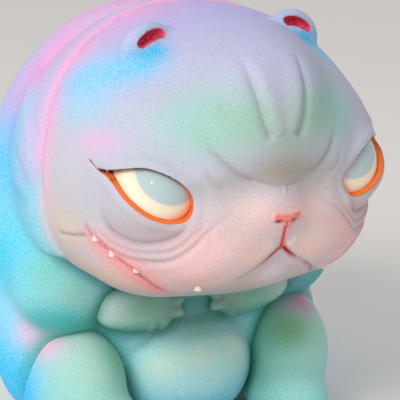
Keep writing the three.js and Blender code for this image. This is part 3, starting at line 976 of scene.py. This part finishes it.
def leg_seams(points, paint):
    front = np.clip((4 - points[:, 1]) / 8, 0, 1)
    inner = np.clip((36 - np.abs(points[:, 0])) / 8, 0, 1)
    # green airbrush against the body and the arm, darkened as painted shade in the seams
    paint = seam(paint, body_field(points), 2.6, (24, 132, 104), 0.8 * front * inner)
    return seam(paint, arm_field(points), 2.6, (60, 170, 140), 0.7)


def arm_seams(points, paint):
    front = np.clip((2 - points[:, 1]) / 6, 0, 1)
    # green airbrush against the legs, the head and the body, darkened as painted shade in the seams
    paint = seam(paint, leg_field(points), 2.6, (24, 130, 116), 0.8)
    paint = seam(paint, head_field(points), 2.4, (40, 120, 106), 0.6)
    return seam(paint, body_field(points), 1.8, (30, 120, 104), 0.6 * front)


def build_part(name, field, box, step, folds, base, clouds, material, seams):
    verts, quads = net(field, box[0], box[1], step)
    verts = even_out(field, verts, quads, 2)
    verts, normals = settle(field, verts, 2)
    out, cavity = sculpt(field, verts, normals, folds)
    paint = airbrush(verts, base, clouds)
    # deep teal in the creases, stronger lower down: green airbrush in the grooves, darkened as painted shade
    low = np.clip((70 - verts[:, 2]) / 20, 0.25, 1)
    paint = tint(paint, (30, 110, 96), 0.6 * np.clip(cavity, 0, 1) * low)
    paint = seams(verts, paint)
    return mesh_object(name, out, quads, material, paint)


def build_fang(name, at, tall, lean, material):
    """A short curved tooth, wide at its root."""
    verts, faces = [], []
    rings, turns = 8, 14
    for r in range(rings):
        t = r / (rings - 1)
        radius = 1.05 * (1 - t) ** 0.75 + 0.12
        centre = np.array(at) + np.array((lean[0] * t * t, lean[1] * t * t, -1.2 + (tall + 1.2) * t))
        for k in range(turns):
            a = 2 * math.pi * k / turns
            verts.append(centre + radius * np.array((math.cos(a), math.sin(a), 0)))
    for r in range(rings - 1):
        for k in range(turns):
            j = (k + 1) % turns
            faces.append([r * turns + k, r * turns + j, (r + 1) * turns + j, (r + 1) * turns + k])
    faces.append(list(range(turns))[::-1])
    faces.append([(rings - 1) * turns + k for k in range(turns)])
    verts = np.array(verts)
    shade = np.clip((verts[:, 2] - at[2]) / tall, 0, 1)
    paint = tint(np.tile(linear(240, 214, 200), (len(verts), 1)), (252, 248, 240), shade * 1.5)
    return mesh_object(name, verts, faces, material, paint)


def moulded_plastic(name, tone):
    """Uncoated white plastic with faint flow marks and fine pitting, for the plugs inside."""
    material = bpy.data.materials.new(name)
    material.use_nodes = True
    nodes, links = material.node_tree.nodes, material.node_tree.links
    shader = nodes["Principled BSDF"]
    shader.inputs["Specular IOR Level"].default_value = 0.45
    place = nodes.new("ShaderNodeTexCoord")
    flow = nodes.new("ShaderNodeTexNoise")
    flow.inputs["Scale"].default_value = 220
    flow.inputs["Detail"].default_value = 4
    links.new(place.outputs["Object"], flow.inputs["Vector"])
    shade = nodes.new("ShaderNodeValToRGB")
    shade.color_ramp.elements[0].position = 0.3
    shade.color_ramp.elements[0].color = (*(linear(*tone) * 0.88), 1)
    shade.color_ramp.elements[1].position = 0.7
    shade.color_ramp.elements[1].color = (*linear(*tone), 1)
    links.new(flow.outputs["Fac"], shade.inputs["Fac"])
    links.new(shade.outputs["Color"], shader.inputs["Base Color"])
    gloss = nodes.new("ShaderNodeMapRange")
    gloss.inputs["To Min"].default_value = 0.32
    gloss.inputs["To Max"].default_value = 0.5
    links.new(flow.outputs["Fac"], gloss.inputs["Value"])
    links.new(gloss.outputs["Result"], shader.inputs["Roughness"])
    pits = nodes.new("ShaderNodeTexNoise")
    pits.inputs["Scale"].default_value = 1600
    links.new(place.outputs["Object"], pits.inputs["Vector"])
    relief = nodes.new("ShaderNodeBump")
    relief.inputs["Distance"].default_value = 0.02 * MM
    links.new(pits.outputs["Fac"], relief.inputs["Height"])
    links.new(relief.outputs["Normal"], shader.inputs["Normal"])
    return material


PLUG_PLASTIC = moulded_plastic("plug_plastic", (232, 228, 220))
PLUGS = ["neck_bobbin"] + [
    f"{label}_{plug}" for label in ("left", "right") for plug in ("eye_cup", "shoulder_peg", "hip_peg")
]
for plug in PLUGS:
    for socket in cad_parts[plug].material_slots:
        socket.material = PLUG_PLASTIC

head = build_head()
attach(head, "head")
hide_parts("head_shell")

BODY_BOX, BODY_STEP, BODY_BASE = ((-58, -24, -1.3), (58, 74, 140)), 1.3, (140, 208, 226)
LEG_STEP, LEG_BASE = 1.0, (150, 208, 204)
ARM_STEP, ARM_BASE = 0.8, (150, 200, 190)
body = build_part("body_skin", body_field, BODY_BOX, BODY_STEP, BODY_FOLDS, BODY_BASE, BODY_CLOUDS,
                  BODY_VINYL, body_seams)
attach(body, "body")
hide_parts("body_shell")

for label, side in (("left", 1), ("right", -1)):
    ball = eyeball(f"{label}_eye_ball", side, EYE_GLOSS)
    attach(ball, "head")
    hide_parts(f"{label}_eyeball")
    rim = eyelid_rim(f"{label}_lid_rim", side, RIM_PAINT)
    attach(rim, "head")

    x0, x1 = sorted((0.5 * side, 56 * side))
    leg_clouds = LEG_CLOUDS + (LEFT_LEG_CLOUDS if side > 0 else [])
    leg = build_part(f"{label}_leg_skin", one_side(leg_field, side), ((x0, -36, -1), (x1, 24, 46)),
                     LEG_STEP, [], LEG_BASE, leg_clouds, LIMB_VINYL, leg_seams)
    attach(leg, f"{label}_leg")
    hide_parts(f"{label}_leg")
    arm = build_part(f"{label}_arm_skin", one_side(arm_field, side), ((x0, -26, 32), (x1, 14, 62)),
                     ARM_STEP, [], ARM_BASE, ARM_CLOUDS, LIMB_VINYL, arm_seams)
    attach(arm, f"{label}_arm")
    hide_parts(f"{label}_arm")

    for i in range(1, 5):
        low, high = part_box(f"{label}_fang_{i}")
        at = np.array(((low.x + high.x) / 2, (low.y + high.y) / 2, low.z)) / MM - SHIFT
        at[2] += 0.6
        tall = (high.z - low.z) / MM - 1.4
        tooth = build_fang(f"{label}_fang_tooth_{i}", at, max(tall, 1.8), (0.3 * side, -0.3), FANG_GLOSS)
        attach(tooth, "head")
        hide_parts(f"{label}_fang_{i}")

# ---------------------------------------------------------------------------------------
# Stage, light and camera
# ---------------------------------------------------------------------------------------
floor_mesh = bpy.data.meshes.new("studio_floor")
floor_mesh.from_pydata([(-4, -4, 0), (4, -4, 0), (4, 4, 0), (-4, 4, 0)], [], [(0, 1, 2, 3)])
floor = bpy.data.objects.new("studio_floor", floor_mesh)
bpy.context.collection.objects.link(floor)
floor_paint = bpy.data.materials.new("warm_grey_paper")
floor_paint.use_nodes = True
floor_shader = floor_paint.node_tree.nodes["Principled BSDF"]
floor_shader.inputs["Base Color"].default_value = (*linear(236, 231, 226), 1)
floor_shader.inputs["Roughness"].default_value = 0.9
floor_mesh.materials.append(floor_paint)

world = bpy.data.worlds.new("studio")
world.use_nodes = True
world.node_tree.nodes["Background"].inputs["Color"].default_value = (0.97, 0.98, 1.0, 1)
world.node_tree.nodes["Background"].inputs["Strength"].default_value = 0.62
bpy.context.scene.world = world


def area_light(name, at, aim, size, watts, colour=(1, 1, 1)):
    light = bpy.data.lights.new(name, "AREA")
    light.shape = "DISK"
    light.size = size
    light.energy = watts
    light.color = colour
    obj = bpy.data.objects.new(name, light)
    obj.location = at
    obj.rotation_euler = (Vector(aim) - Vector(at)).to_track_quat("-Z", "Y").to_euler()
    bpy.context.collection.objects.link(obj)
    return obj


key = area_light("key_softbox", (-0.85, -0.5, 0.8), (0, 0, 0.07), 0.5, 9.5, (1, 0.98, 0.95))
key.visible_glossy = False
area_light("glint", (-0.35, -0.62, 0.46), (0, -0.04, 0.09), 0.025, 0.12)

CAMERA_TURN, CAMERA_RISE, CAMERA_AWAY = math.radians(-29), math.radians(15.6), 0.4913
LENS_MM, SENSOR_MM = 153, 36
AIM = Vector((0, -0.018, 0.075))
back = Vector((
    math.sin(CAMERA_TURN) * math.cos(CAMERA_RISE),
    -math.cos(CAMERA_TURN) * math.cos(CAMERA_RISE),
    math.sin(CAMERA_RISE),
))
lens = bpy.data.cameras.new("studio_camera")
lens.lens = LENS_MM
lens.sensor_width = SENSOR_MM
camera = bpy.data.objects.new("studio_camera", lens)
camera.location = AIM + back * CAMERA_AWAY
camera.rotation_euler = back.to_track_quat("Z", "Y").to_euler()
bpy.context.collection.objects.link(camera)
bpy.context.scene.camera = camera
bpy.context.scene.view_settings.view_transform = "Standard"
